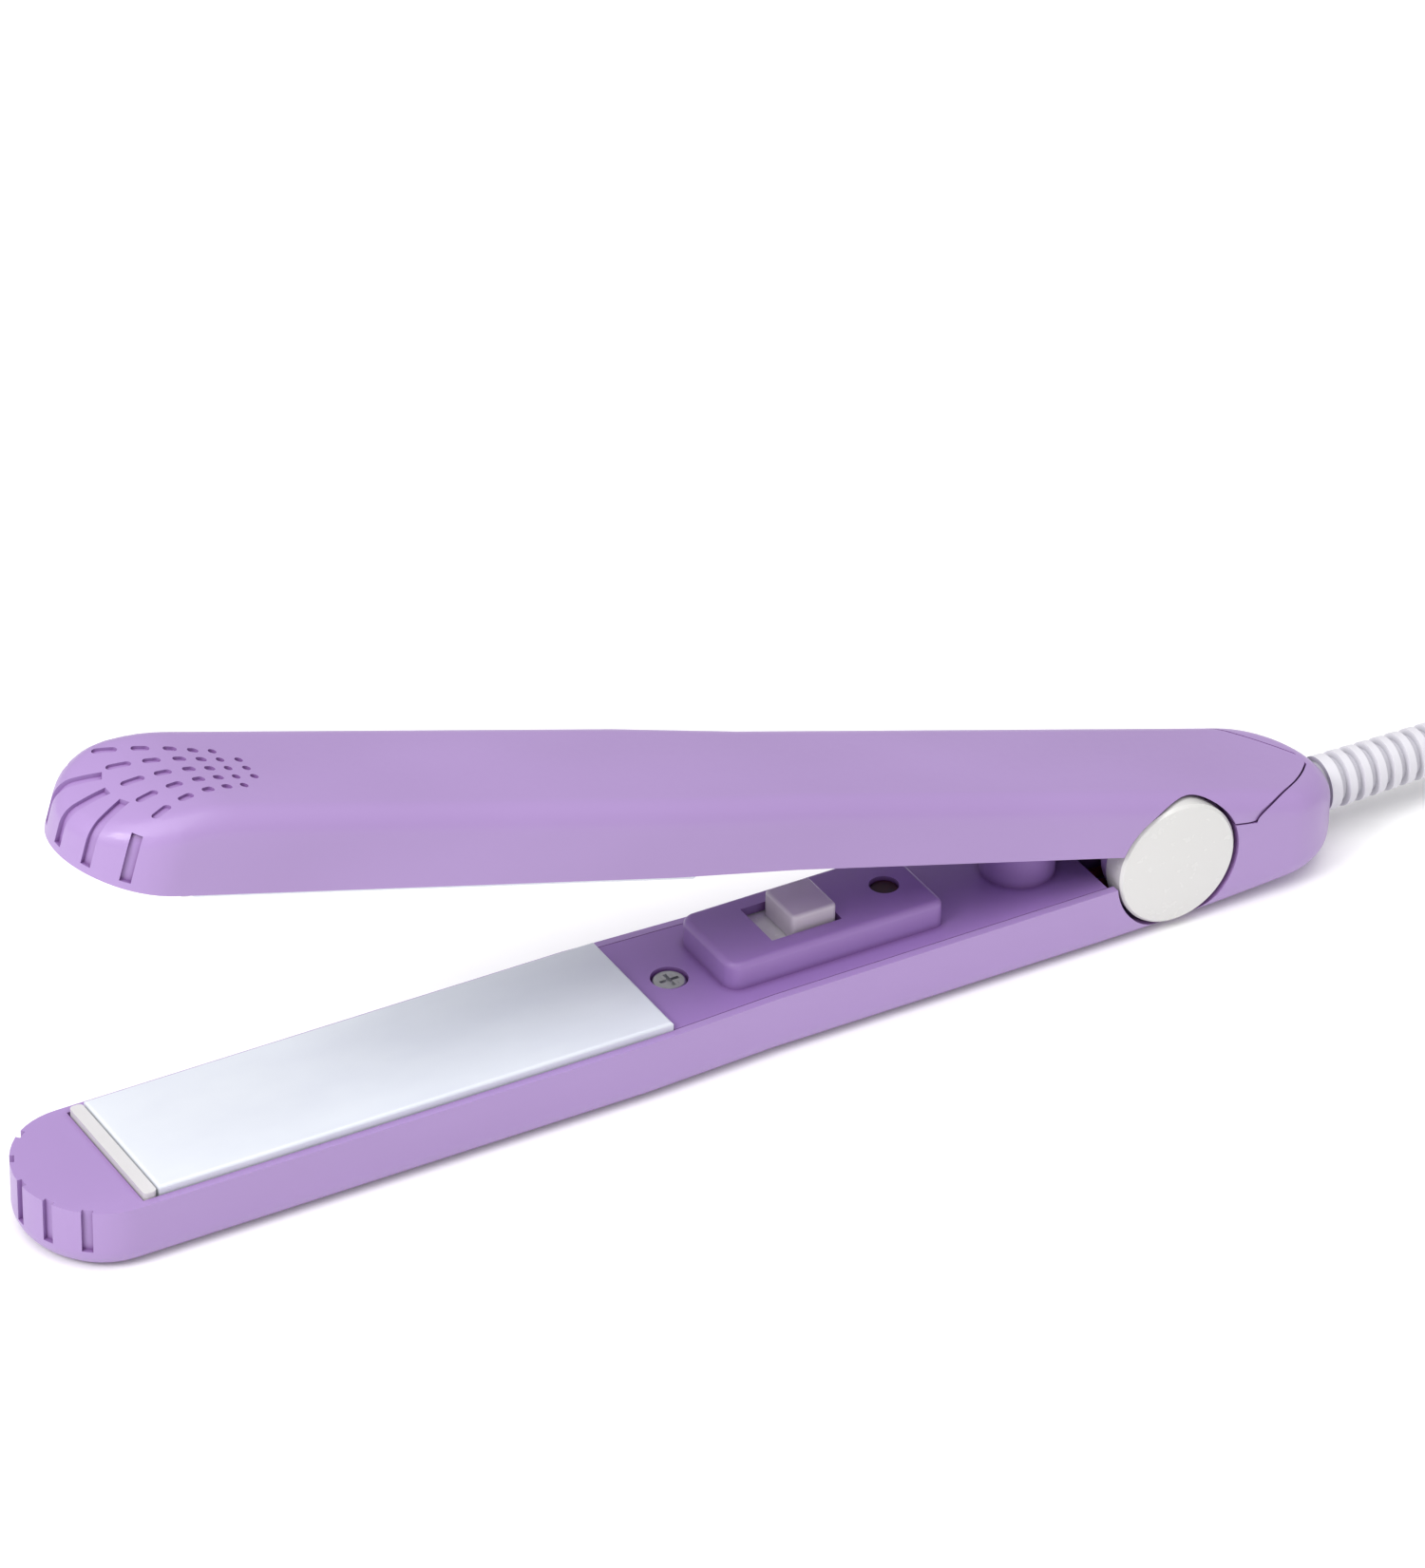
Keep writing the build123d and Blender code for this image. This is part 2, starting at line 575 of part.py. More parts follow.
def make_upper_cover():
    """Upper cover with a closed pocket over the switch block and a hole for the spring's post."""
    x, half = (SWITCH_BLOCK[0] - 0.8, SWITCH_BLOCK[1] + 0.8), SWITCH_BLOCK_HALF + 0.8
    ceiling = KNOB_TOP + 0.6
    with BuildPart() as cover:
        cover_plate(UPPER, 1)
        block(UPPER, (x[0] - 1, x[1] + 1), (-half - 1, half + 1), (UPPER_DECK, ceiling + SWITCH_WALL))
        block(UPPER, x, (-half, half), (0, ceiling), mode=Mode.SUBTRACT)
        post(UPPER, POST_X, 0, POST_RADIUS + 1.0, (0, 4), mode=Mode.SUBTRACT)
        screw_seat(UPPER, 1)
    return cover.part


# ---------------------------------------------------------------- pieces that both arms have
def make_plate(arm, side):
    """Flat heating plate with rounded edges along its face."""
    z = sorted((height(side, PLATE_AIR), height(side, PLATE_BACK)))
    with BuildPart() as plate:
        block(arm, PLATE, (-PLATE_HALF, PLATE_HALF), z)
        face = plate.faces().sort_by(Axis(arm.origin, arm.z_dir * -side))[-1]
        fillet(face.edges(), 0.4)
    return plate.part


def make_strip(arm, side):
    """Heat-proof strip that closes the nose end of the plate's bay."""
    z = sorted((height(side, STRIP_FACE), height(side, STRIP_BACK)))
    with BuildPart() as strip:
        block(arm, STRIP, (-STRIP_HALF, STRIP_HALF), z)
        ends = strip.edges().filter_by(lambda edge: abs(edge.tangent_at(0.5).dot(arm.z_dir)) > 0.99)
        fillet(ends, 0.6)
    return strip.part


def make_holder(arm, side):
    """Tray behind the plate with a recess for the heater."""
    back, face = height(side, HOLDER_BACK), height(side, PLATE_BACK)
    with BuildPart() as holder:
        block(arm, HOLDER, (-HOLDER_HALF, HOLDER_HALF), sorted((back, face)))
        block(arm, (HEATER[0] - 0.5, HEATER[1] + 0.5), (-HEATER_HALF - 0.5, HEATER_HALF + 0.5),
              sorted((height(side, CLAMP_BACK + 0.2), face)), mode=Mode.SUBTRACT)
        for x in (HOLDER[0] + NOTCH_INSET, HOLDER[1] - NOTCH_INSET):
            block(arm, (x - NOTCH_HALF, x + NOTCH_HALF), (-HOLDER_HALF, HOLDER_HALF),
                  sorted((back, height(side, HOLDER_BACK - NOTCH_DEPTH))), mode=Mode.SUBTRACT)
    return holder.part


def make_heater(arm, side):
    """Ceramic heater lying against the plate."""
    with BuildPart() as heater:
        block(arm, HEATER, (-HEATER_HALF, HEATER_HALF),
              sorted((height(side, PLATE_BACK), height(side, HEATER_BACK))))
    return heater.part


def make_clamp(arm, side):
    """Sprung strip that presses the heater against the plate."""
    with BuildPart() as clamp:
        block(arm, CLAMP, (-CLAMP_HALF, CLAMP_HALF),
              sorted((height(side, HEATER_BACK), height(side, CLAMP_BACK))))
    return clamp.part


def make_screw(arm, side):
    """Cross-head screw that holds the cover."""
    with BuildPart() as screw:
        post(arm, SCREW_X, 0, SCREW_HEAD, sorted((height(side, SCREW_FACE), height(side, SCREW_SEAT))))
        rim = screw.faces().sort_by(Axis(arm.origin, arm.z_dir * -side))[-1].edges()
        fillet(rim, 0.35)
        post(arm, SCREW_X, 0, SCREW_SHANK, (height(side, SCREW_SEAT), height(side, SCREW_END)))
        slot = sorted((height(side, SCREW_FACE), height(side, SCREW_FACE + SCREW_SLOT_DEPTH)))
        for half_x, half_y in (SCREW_SLOT, SCREW_SLOT[::-1]):
            block(arm, (SCREW_X - half_x, SCREW_X + half_x), (-half_y, half_y), slot, mode=Mode.SUBTRACT)
    return screw.part


# ---------------------------------------------------------------- hinge, switch and tail pieces
def make_cap(way):
    """Domed cap on one end of the pin."""
    y = [way * place for place in (CAP_INNER, PIN_HALF_LENGTH, CAP_OUTER - CAP_BEVEL, CAP_OUTER)]
    radius = CAP_RADIUS[way]
    middle = LOWER.from_local_coords((CAP_MIDDLE[way][0], 0, CAP_MIDDLE[way][1]))
    with BuildPart() as cap:
        with BuildSketch(Plane(origin=middle)) as section:
            with BuildLine():
                Polyline((0, y[3]), (0, y[0]), (radius, y[0]), (radius, y[2] - way * CAP_BEVEL),
                         (radius - CAP_BEVEL, y[2]))
                TangentArc((0, y[3]), (radius - CAP_BEVEL, y[2]), tangent=(1, 0))
            make_face()
        revolve(section.sketch, axis=Axis(middle, (0, 1, 0)))
        disc(LOWER, PIN_RADIUS, sorted((y[0], y[1])), mode=Mode.SUBTRACT)
    return cap.part


def make_knob():
    """Sliding switch knob, a plain rounded block with a stem into the switch."""
    base = SWITCH_FACE + 0.15
    with BuildPart() as knob:
        block(LOWER, KNOB, (-KNOB_HALF, KNOB_HALF), (base, KNOB_TOP))
        fillet(knob.edges().filter_by(Axis.Z), 0.6)
        fillet(knob.faces().sort_by(Axis.Z)[-1].edges(), 0.5)
        block(LOWER, KNOB_STEM, (-KNOB_STEM_HALF, KNOB_STEM_HALF), (KNOB_STEM_END, base))
    return knob.part


def make_switch_body():
    """Slide switch under the knob, with the slit that its stem runs in."""
    with BuildPart() as switch:
        block(LOWER, SWITCH, (-SWITCH_HALF, SWITCH_HALF), (BOARD_TOP, SWITCH_FACE))
        half = KNOB_STEM_HALF + 0.3
        block(LOWER, SWITCH_SLIT, (-half, half), (KNOB_STEM_END - 0.4, 1), mode=Mode.SUBTRACT)
    return switch.part


def make_lens():
    """Indicator lens with a flange under the block's top."""
    with BuildPart() as lens:
        post(LOWER, LENS_X, 0, LENS_RADIUS, LENS_HEIGHTS[1:])
        post(LOWER, LENS_X, 0, LENS_RADIUS + 0.7, LENS_HEIGHTS[:2])
    return lens.part


def make_lamp():
    """Small lamp between the board and the lens."""
    with BuildPart() as lamp:
        post(LOWER, LENS_X, 0, LAMP_RADIUS, (BOARD_TOP, LENS_HEIGHTS[0] - 0.1))
    return lamp.part


def make_board():
    """Circuit board under the switch."""
    with BuildPart() as board:
        block(LOWER, BOARD, (-BOARD_HALF, BOARD_HALF), (BOARD_TOP - BOARD_THICK, BOARD_TOP))
    return board.part


def make_spring():
    """Compression spring that pushes the arms apart."""
    bottom = POST_SEAT + SPRING_WIRE
    length = SPRING_TOP - SPRING_WIRE - bottom
    foot = LOWER.from_local_coords((POST_X, 0, bottom))
    with BuildPart() as spring:
        with BuildLine() as coil:
            Helix(length / SPRING_TURNS, length, SPRING_RADIUS, center=foot)
        with BuildSketch(Plane(origin=coil.line @ 0, z_dir=coil.line % 0)):
            Circle(SPRING_WIRE)
        sweep(path=coil.line, is_frenet=True)
    return spring.part


def make_relief():
    """Tapered strain relief with ring grooves, held by a flange inside the tail."""
    middle = LOWER.from_local_coords((0, 0, CORD_LEVEL))
    groove_width, groove_depth = RELIEF_GROOVE
    count = int((RELIEF_END - RELIEF_START - 2 * RELIEF_MARGIN) / RELIEF_PITCH)
    outline = [(RELIEF_START, 0), (RELIEF_START, RELIEF_ROOT_RADIUS)]
    for ring in range(count):
        start = RELIEF_START + RELIEF_MARGIN + ring * RELIEF_PITCH
        share = (start - RELIEF_START) / (RELIEF_END - RELIEF_START)
        radius = RELIEF_ROOT_RADIUS + share * (RELIEF_TIP_RADIUS - RELIEF_ROOT_RADIUS)
        floor = max(radius - groove_depth, CORD_RADIUS + 0.3)
        outline += [(start, radius), (start + 0.2, floor), (start + groove_width - 0.2, floor),
                    (start + groove_width, radius)]
    outline += [(RELIEF_END, RELIEF_TIP_RADIUS), (RELIEF_END, 0)]
    with BuildPart() as relief:
        with BuildSketch(Plane(origin=middle, z_dir=(0, -1, 0), x_dir=(1, 0, 0))) as half:
            with BuildLine():
                Polyline(*outline, close=True)
            make_face()
        revolve(half.sketch, axis=Axis(middle, (1, 0, 0)))
        rod(RELIEF_NECK, (RELIEF_FLANGE[0], RELIEF_START), 0, CORD_LEVEL)
        block(LOWER, RELIEF_FLANGE, (-RELIEF_FLANGE_HALF, RELIEF_FLANGE_HALF), RELIEF_FLANGE_HEIGHTS)
    return relief.part


def make_cord_clamp():
    """Bar that holds the cord's sheath down inside the tail."""
    top = CLAMP_SEAT + CLAMP_BAR_THICK
    with BuildPart() as bar:
        block(LOWER, CLAMP_BAR, (-CLAMP_BAR_HALF, CLAMP_BAR_HALF), (CLAMP_SEAT, top))
        for way in (1, -1):
            post(LOWER, CLAMP_X, way * CLAMP_SCREW_Y, CLAMP_SCREW, (CLAMP_SEAT, top), mode=Mode.SUBTRACT)
    return bar.part


def make_clamp_screws():
    """Pair of small screws through the clamp bar."""
    top = CLAMP_SEAT + CLAMP_BAR_THICK
    head_radius, head = CLAMP_SCREW_HEAD
    with BuildPart() as screws:
        for way in (1, -1):
            post(LOWER, CLAMP_X, way * CLAMP_SCREW_Y, head_radius, (top, top + head))
            post(LOWER, CLAMP_X, way * CLAMP_SCREW_Y, CLAMP_SCREW, (CLAMP_SCREW_END + 0.3, top))
    return screws.part


def make_sheath():
    """End of the cord's sheath inside the tail."""
    with BuildPart() as sheath:
        rod(CORD_RADIUS, (SHEATH_START, RELIEF_FLANGE[0]), 0, CORD_LEVEL)
    return sheath.part


def lead_pair(arm, points, spacing, bend):
    """Two insulated wires side by side along the same route."""
    with BuildPart() as pair:
        for y in (-spacing, spacing):
            route = [arm.from_local_coords((x, y, z)) for x, z in points]
            add(wire(route, LEAD_RADIUS, bend))
    return pair.part


# ---------------------------------------------------------------- free cord, hank and plug
def make_cord():
    """Cord from the strain relief down to the hank, on straight runs joined by the widest arcs."""
    points = [Vector(*point) for point in CORD_ROUTE]
    radii = []
    for before, here, after in zip(points, points[1:], points[2:]):
        turn = radians((here - before).get_angle(after - here))
        radii.append(0.45 * min((here - before).length, (after - here).length) / tan(turn / 2))
    with BuildPart() as cord:
        with BuildLine() as path:
            FilletPolyline(*points, radius=radii)
        with BuildSketch(Plane(origin=path.line @ 0, z_dir=path.line % 0)):
            Circle(CORD_RADIUS)
        sweep(path=path.line)
    section = pi * CORD_RADIUS ** 2
    swept = section * path.wire().length
    print("cord volume", round(cord.part.volume, 1), "section times length", round(swept, 1))
    return cord.part


def hank_outline(plane):
    """Two round end loops with a narrow waist between them."""
    x, y = HANK_MIDDLE
    reach = FOLD_RADIUS + CORD_RADIUS
    end = HANK_HALF_LENGTH - reach
    with BuildSketch(plane) as outline:
        with Locations((x - end, y), (x + end, y)):
            Circle(reach)
        with BuildLine():
            for way in (1, -1):
                Spline((x - end, y + way * reach), (x, y + way * HANK_WAIST), (x + end, y + way * reach),
                       tangents=((1, 0), (1, 0)))
            for way in (1, -1):
                Line((x + way * end, y - reach), (x + way * end, y + reach))
        make_face()
    return outline.sketch


def make_hank():
    """Outer shape of the folded cord, drawn in at its waist by the tie."""
    with BuildPart() as hank:
        extrude(hank_outline(Plane.XY), amount=HANK_HEIGHT)
        with BuildSketch(Plane.XY.offset(-1)):
            with Locations(HANK_MIDDLE):
                Rectangle(2 * TIE_HALF_WIDTH, 4 * FOLD_RADIUS)
                Rectangle(2 * TIE_HALF_WIDTH, 2 * (HANK_WAIST - TIE_THICK), mode=Mode.SUBTRACT)
        extrude(amount=HANK_HEIGHT + 2, mode=Mode.SUBTRACT)
        for start in (-1, HANK_HEIGHT - TIE_THICK):
            with BuildSketch(Plane.XY.offset(start)):
                with Locations(HANK_MIDDLE):
                    Rectangle(2 * TIE_HALF_WIDTH, 4 * FOLD_RADIUS)
            extrude(amount=1 + TIE_THICK, mode=Mode.SUBTRACT)
    return hank.part


def make_tie():
    """Strap around the hank's waist."""
    x, y = HANK_MIDDLE
    middle = Plane(origin=(x - TIE_HALF_WIDTH, y, HANK_HEIGHT / 2), z_dir=(1, 0, 0), x_dir=(0, 1, 0))
    with BuildPart() as tie:
        with BuildSketch(middle):
            RectangleRounded(2 * HANK_WAIST, HANK_HEIGHT, TIE_ROUND)
            Rectangle(2 * (HANK_WAIST - TIE_THICK), HANK_HEIGHT - 2 * TIE_THICK, mode=Mode.SUBTRACT)
        extrude(amount=2 * TIE_HALF_WIDTH)
    return tie.part


def make_plug_body():
    """Flat two-pin plug body with a short tail for the cord."""
    z = HANK_HEIGHT + PLUG_THICK / 2
    y = PLUG_Y
    body_start = PLUG_START + PLUG_TAIL
    body_end = body_start + PLUG_LENGTH
    shoulder = body_start + PLUG_SHOULDER
    with BuildPart() as plug:
        with BuildSketch(Plane.XY.offset(HANK_HEIGHT)):
            with BuildLine():
                Polyline((body_start, y - PLUG_NECK), (shoulder, y - PLUG_HALF_WIDTH),
                         (body_end, y - PLUG_HALF_WIDTH), (body_end, y + PLUG_HALF_WIDTH),
                         (shoulder, y + PLUG_HALF_WIDTH), (body_start, y + PLUG_NECK), close=True)
            make_face()
        extrude(amount=PLUG_THICK)
        fillet(plug.edges().filter_by(Axis.Z), 2.5)
        fillet(plug.faces().sort_by(Axis.Z)[-1].edges(), 1.5)
        with BuildSketch(Plane(origin=(PLUG_START, y, z), z_dir=(1, 0, 0))):
            Circle(3.2)
        with BuildSketch(Plane(origin=(body_start + 1, y, z), z_dir=(1, 0, 0))):
            Circle(4.6)
        loft()
    return plug.part


def make_plug_pins():
    """Round pins with rounded ends."""
    z = HANK_HEIGHT + PLUG_THICK / 2
    start = PLUG_START + PLUG_TAIL + PLUG_LENGTH
    with BuildPart() as pins:
        for way in (1, -1):
            with BuildSketch(Plane(origin=(start, PLUG_Y + way * PLUG_PIN_SPREAD, z), z_dir=(1, 0, 0))):
                Circle(PLUG_PIN_RADIUS)
        extrude(amount=PLUG_PIN_LENGTH)
        fillet(pins.faces().group_by(Axis.X)[-1].edges(), 1.0)
    return pins.part


# ---------------------------------------------------------------- writing the pieces
def save(piece, name):
    """Write one piece under its node name."""
    piece.label = name
    export_step(piece, f"parts/{name}.step")


SUPPLY_ROUTE = ((SHEATH_START - 0.6, CORD_LEVEL), (6.5, -6.6), (1.0, -7.6), (BOARD[1], -7.1))
HEATER_ROUTE = ((BOARD[0], BOARD_TOP - 0.5), (-65.0, BOARD_TOP - 0.5), (HOLDER[1] + 0.6, -5.0))
UPPER_ROUTE = ((-19.0, 6.2), (-30.0, 6.83), (-66.0, 7.2), (HOLDER[1] + 0.6, 3.9))

save(make_lower_shell(), "lower_shell")
save(make_upper_shell(), "upper_shell")
save(make_lower_deck(), "lower_deck")
save(make_upper_cover(), "upper_cover")
for arm_name, arm, side in (("lower", LOWER, -1), ("upper", UPPER, 1)):
    save(make_plate(arm, side), f"{arm_name}_plate")
    save(make_strip(arm, side), f"{arm_name}_end_strip")
    save(make_holder(arm, side), f"{arm_name}_plate_holder")
    save(make_heater(arm, side), f"{arm_name}_heater")
    save(make_clamp(arm, side), f"{arm_name}_heater_clamp")
    save(make_screw(arm, side), f"{arm_name}_cover_screw")
save(make_cap(-1), "near_hinge_cap")
save(make_cap(1), "far_hinge_cap")
with BuildPart() as hinge_pin:
    disc(LOWER, PIN_RADIUS, (-PIN_HALF_LENGTH, PIN_HALF_LENGTH))
save(hinge_pin.part, "hinge_pin")
save(make_spring(), "opening_spring")
save(make_knob(), "switch_knob")
save(make_switch_body(), "switch_body")
save(make_lens(), "indicator_lens")
save(make_lamp(), "indicator_lamp")
save(make_board(), "circuit_board")
save(make_relief(), "strain_relief")
save(make_cord_clamp(), "cord_clamp")
save(make_clamp_screws(), "clamp_screws")
save(make_sheath(), "cord_sheath_end")
save(lead_pair(LOWER, SUPPLY_ROUTE, 1.3, 2.0), "supply_leads")
save(lead_pair(LOWER, HEATER_ROUTE, 5.0, 2.0), "lower_heater_leads")
save(lead_pair(UPPER, UPPER_ROUTE, 6.4, 2.0), "upper_heater_leads")
save(make_cord(), "cord")
save(make_hank(), "cord_hank")
save(make_tie(), "hank_tie")
save(make_plug_body(), "plug_body")
save(make_plug_pins(), "plug_pins")
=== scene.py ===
"""Looks of the mini hair iron: materials, rounded edges, the folded cord, floor, light and camera.

Metres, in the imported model's frame: X from the noses to the tail, Y across, Z up from the table.
"""
from math import cos, pi, radians, sin

import bpy
from mathutils import Matrix, Vector


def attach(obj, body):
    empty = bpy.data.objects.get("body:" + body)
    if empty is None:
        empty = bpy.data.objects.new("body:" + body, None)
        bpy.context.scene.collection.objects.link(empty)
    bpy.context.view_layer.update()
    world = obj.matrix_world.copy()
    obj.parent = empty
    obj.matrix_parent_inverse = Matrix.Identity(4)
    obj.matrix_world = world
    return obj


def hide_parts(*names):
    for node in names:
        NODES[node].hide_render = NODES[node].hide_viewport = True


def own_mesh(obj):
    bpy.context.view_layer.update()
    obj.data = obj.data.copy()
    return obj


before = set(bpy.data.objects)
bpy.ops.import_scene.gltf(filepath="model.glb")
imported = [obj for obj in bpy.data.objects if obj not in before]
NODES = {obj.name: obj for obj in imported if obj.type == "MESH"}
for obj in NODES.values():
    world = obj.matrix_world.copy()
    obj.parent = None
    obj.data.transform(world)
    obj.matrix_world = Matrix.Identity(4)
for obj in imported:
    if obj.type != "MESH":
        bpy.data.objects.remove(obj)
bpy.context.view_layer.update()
MM = 0.001

# ---------------------------------------------------------------- camera
CAMERA_TARGET = Vector((-4.1, -10.2, 43.2)) * MM
CAMERA_AZIMUTH = radians(30.53)
CAMERA_ELEVATION = radians(33.37)
CAMERA_ROLL = radians(0.952)
CAMERA_DISTANCE = 1.0
CAMERA_LENS = 191.7
SENSOR = 36.0


def make_camera():
    """Camera on the near nose side, looking down on the open arms."""
    back = Vector((
        -sin(CAMERA_AZIMUTH) * cos(CAMERA_ELEVATION),
        -cos(CAMERA_AZIMUTH) * cos(CAMERA_ELEVATION),
        sin(CAMERA_ELEVATION),
    ))
    level_right = Vector((cos(CAMERA_AZIMUTH), -sin(CAMERA_AZIMUTH), 0.0))
    level_up = back.cross(level_right)
    right = level_right * cos(CAMERA_ROLL) + level_up * sin(CAMERA_ROLL)
    up = level_up * cos(CAMERA_ROLL) - level_right * sin(CAMERA_ROLL)
    data = bpy.data.cameras.new("camera")
    data.lens = CAMERA_LENS
    data.sensor_width = SENSOR
    data.clip_start = 0.05
    data.clip_end = 20.0
    camera = bpy.data.objects.new("camera", data)
    bpy.context.scene.collection.objects.link(camera)
    turn = Matrix((right, up, back)).transposed().to_4x4()
    camera.matrix_world = Matrix.Translation(CAMERA_TARGET + back * CAMERA_DISTANCE) @ turn
    bpy.context.scene.camera = camera


# ---------------------------------------------------------------- cord
CORD_DIAMETER = 4.5
WAY_DOWN = ((129.5, 0, 6.9), (136.5, 0, 6.3), (145.5, 0, 3.1))
RISE_TO_PLUG = ((161.0, 1.4, 28.9), (166.5, 4.6, 31.0), (170.5, 6.0, 31.85), (173.5, 6.0, 31.85))
FOLD_RADIUS = 13.5
HANK_MIDDLE = (184.5, 13.5)
HANK_HALF_LENGTH = 46.0
WAIST = 2.35                  # from the waist's middle to the cord's centre
WAIST_HALF = 2.5              # half length of the straight stretch under the strap
LAYER = 4.55
HANK_TURNS = 5
FIRST_TURN = -0.12            # where the way down meets the first end loop
POINTS_PER_TURN = 48
BOTTOM_LAYER = 2.4
WAIST_LIFT = 0.8              # the strap passes under the waist
CLIMB = 0.24                  # part of a turn, in one end loop, in which the cord climbs a layer


def smooth(share):
    """Step from 0 to 1 that starts and ends gently."""
    share = min(1.0, share)
    return share * share * (3 - 2 * share)


def hank_point(turn):
    """Centre of the cord after some turns, round two end loops with a narrow waist between them."""
    reach = HANK_HALF_LENGTH - CORD_DIAMETER / 2
    end = reach - FOLD_RADIUS
    angle = 2 * pi * turn - pi / 2
    x = reach * cos(angle)
    if abs(x) > end:
        y = (FOLD_RADIUS ** 2 - (abs(x) - end) ** 2) ** 0.5
    else:
        share = max(0.0, abs(x) - WAIST_HALF) / (end - WAIST_HALF)
        y = WAIST + (FOLD_RADIUS - WAIST) * sin(share * pi / 2) ** 2
    if sin(angle) < 0:
        y = -y
    lift = WAIST_LIFT * max(0.0, 1 - abs(x) / end)
    layer, share = divmod(turn + 0.25 + CLIMB / 2, 1.0)
    climb = LAYER * (layer - 1 + smooth(share / CLIMB))
    return (HANK_MIDDLE[0] + x, HANK_MIDDLE[1] + y, BOTTOM_LAYER + climb + lift)


def make_cord():
    """Whole cord as one smooth curve: the way down, the hank's turns and the way up into the plug.

    The tube's thickness comes from each point's radius, times a bevel depth of 1.
    """
    points = list(WAY_DOWN)
    for step in range(HANK_TURNS * POINTS_PER_TURN + 1):
        points.append(hank_point(FIRST_TURN + step / POINTS_PER_TURN))
    points += RISE_TO_PLUG
    curve = bpy.data.curves.new("mains_cord", "CURVE")
    curve.dimensions = "3D"
    curve.bevel_depth = 1.0
    curve.bevel_resolution = 5
    curve.resolution_u = 6
    curve.use_fill_caps = True
    spline = curve.splines.new("NURBS")
    spline.points.add(len(points) - 1)
    for point, place in zip(spline.points, points):
        point.co = (place[0] * MM, place[1] * MM, place[2] * MM, 1.0)
        point.radius = CORD_DIAMETER / 2 * MM
    spline.order_u = 3
    spline.use_endpoint_u = True
    cord = bpy.data.objects.new("mains_cord", curve)
    bpy.context.scene.collection.objects.link(cord)
    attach(cord, "lower_arm")
    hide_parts("cord", "cord_hank")
    return cord


# ---------------------------------------------------------------- opening spring
SPRING_X = 46.5
SPRING_SEAT = 5.5
SPRING_LENGTH = 15.4          # between the wire's centres at both ends
SPRING_RADIUS = 2.6
SPRING_WIRE = 0.4
SPRING_TURNS = 7
SPRING_STEPS = 32             # rings of the wire for each turn
SPRING_SIDES = 8


def make_spring(material):
    """Coil spring in the lower arm's post, built at one length; it rides with the lower arm, and
    nothing here shortens it as the arms close.
    """
    rings = SPRING_TURNS * SPRING_STEPS
    corners = []
    for ring in range(rings + 1):
        turn = 2 * pi * ring / SPRING_STEPS
        middle = SPRING_SEAT + SPRING_WIRE + SPRING_LENGTH * ring / rings
        for side in range(SPRING_SIDES):
            lean = 2 * pi * side / SPRING_SIDES
            reach = SPRING_RADIUS + SPRING_WIRE * cos(lean)
            place = (SPRING_X + reach * cos(turn), reach * sin(turn), middle + SPRING_WIRE * sin(lean))
            corners.append([value * MM for value in place])
    last = rings * SPRING_SIDES
    faces = [tuple(range(SPRING_SIDES)), tuple(range(last, last + SPRING_SIDES))]
    for ring in range(rings):
        for side in range(SPRING_SIDES):
            here = ring * SPRING_SIDES + side
            beside = ring * SPRING_SIDES + (side + 1) % SPRING_SIDES
            faces.append((here, here + SPRING_SIDES, beside + SPRING_SIDES, beside))
    mesh = bpy.data.meshes.new("spring_coil")
    mesh.from_pydata(corners, [], faces)
    mesh.polygons.foreach_set("use_smooth", [True] * len(mesh.polygons))
    mesh.materials.append(material)
    coil = bpy.data.objects.new("spring_coil", mesh)
    bpy.context.scene.collection.objects.link(coil)
    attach(coil, "lower_arm")
    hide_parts("opening_spring")
    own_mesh(coil)


# ---------------------------------------------------------------- material building blocks
def srgb(red, green, blue):
    """Linear colour from the 0 to 255 values of a colour picker."""
    def linear(value):
        share = value / 255
        return share / 12.92 if share <= 0.04045 else ((share + 0.055) / 1.055) ** 2.4
    return (linear(red), linear(green), linear(blue), 1.0)


def shade(colour, factor):
    """Darker or lighter version of a colour."""
    return tuple(min(1.0, channel * factor) for channel in colour[:3]) + (1.0,)


def new_material(name, roughness, metallic=0.0, coat=0.0, coat_roughness=0.1, ior=1.5):
    """Material with a principled shader, its node tree and its object coordinates."""
    material = bpy.data.materials.new(name)
    material.use_nodes = True
    tree = material.node_tree
    shader = tree.nodes["Principled BSDF"]
    shader.inputs["Roughness"].default_value = roughness
    shader.inputs["Metallic"].default_value = metallic
    shader.inputs["Coat Weight"].default_value = coat
    shader.inputs["Coat Roughness"].default_value = coat_roughness
    shader.inputs["IOR"].default_value = ior
    place = tree.nodes.new("ShaderNodeTexCoord").outputs["Object"]
    return material, tree, shader, place


def add_noise(tree, place, scale, detail=3.0, stretch=(1.0, 1.0, 1.0)):
    """Noise of a scale in features per metre, stretched along an axis if asked."""
    mapping = tree.nodes.new("ShaderNodeMapping")
    mapping.inputs["Scale"].default_value = stretch
    noise = tree.nodes.new("ShaderNodeTexNoise")
    noise.inputs["Scale"].default_value = scale
    noise.inputs["Detail"].default_value = detail
    tree.links.new(place, mapping.inputs["Vector"])
    tree.links.new(mapping.outputs["Vector"], noise.inputs["Vector"])
    return noise.outputs["Fac"]


def vary_colour(tree, shader, factor, low, high, start=0.35, stop=0.65):
    """Base colour that runs between two colours with a factor."""
    ramp = tree.nodes.new("ShaderNodeValToRGB")
    ramp.color_ramp.elements[0].position = start
    ramp.color_ramp.elements[0].color = low
    ramp.color_ramp.elements[1].position = stop
    ramp.color_ramp.elements[1].color = high
    tree.links.new(factor, ramp.inputs["Fac"])
    tree.links.new(ramp.outputs["Color"], shader.inputs["Base Color"])


